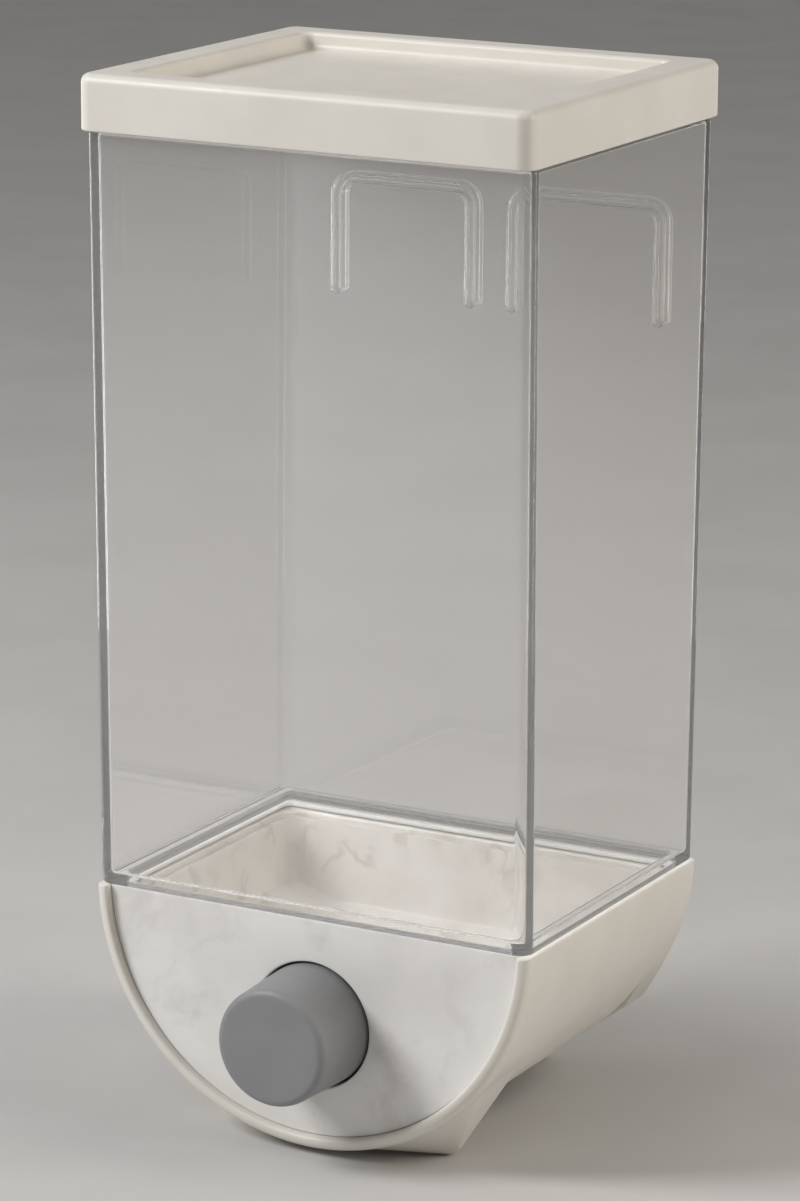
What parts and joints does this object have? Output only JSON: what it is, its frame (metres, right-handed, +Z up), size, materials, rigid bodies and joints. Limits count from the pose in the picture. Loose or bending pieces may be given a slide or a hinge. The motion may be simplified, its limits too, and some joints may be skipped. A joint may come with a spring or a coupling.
{
  "type": "cereal dispenser",
  "caption": "Clear rectangular dry-food tank with a lift-off lid on a half-round base whose push button slides a gate under the hopper.",
  "frame": {"origin": "middle of the part's footprint, on the surface its two feet stand on", "axes": "+X across to the right as seen from the button, +Y from the button to the wall, +Z up"},
  "size_m": [0.1106, 0.1068, 0.2391],
  "materials": {
    "clear_plastic": "clear, polished",
    "cream_plastic": "satin",
    "marbled_plastic": "satin, with faint grey-brown veins",
    "grey_plastic": "fine matte grain",
    "white_plastic": "moulded",
    "silicone": "translucent matte",
    "steel": "zinc plated",
    "spring_steel": "drawn wire"
  },
  "bodies": {
    "base": {"tank": "clear_plastic", "tank_gasket": "silicone", "base_shell": "cream_plastic", "front_plate": "marbled_plastic", "rear_plate": "cream_plastic", "hopper": "marbled_plastic", "gate_seal": "silicone", "rail_left": "white_plastic", "rail_right": "white_plastic", "outlet_chute": "white_plastic", "button_guide": "white_plastic", "return_spring": "spring_steel", "rail_screw_left_front": "steel", "rail_screw_left_rear": "steel", "rail_screw_right_front": "steel", "rail_screw_right_rear": "steel", "guide_screw_left": "steel", "guide_screw_right": "steel", "rear_screw_left": "steel", "rear_screw_right": "steel", "chute_screw_front": "steel", "chute_screw_rear": "steel"},
    "lid": {"lid": "cream_plastic", "lid_seal": "silicone"},
    "button": {"button_cap": "grey_plastic", "gate_slide": "white_plastic", "coupling_pin": "steel"}
  },
  "joints": [
    {"name": "lid_lift", "type": "slide", "parent": "base", "child": "lid", "axis": [0, 0, 1], "range_m": [0, 0.05]},
    {"name": "button_press", "type": "slide", "parent": "base", "child": "button", "axis": [0, 1, 0], "range_m": [0, 0.012], "stiffness_N_per_m": 250, "springref_m": -0.008, "deforming": ["return_spring"]}
  ]
}
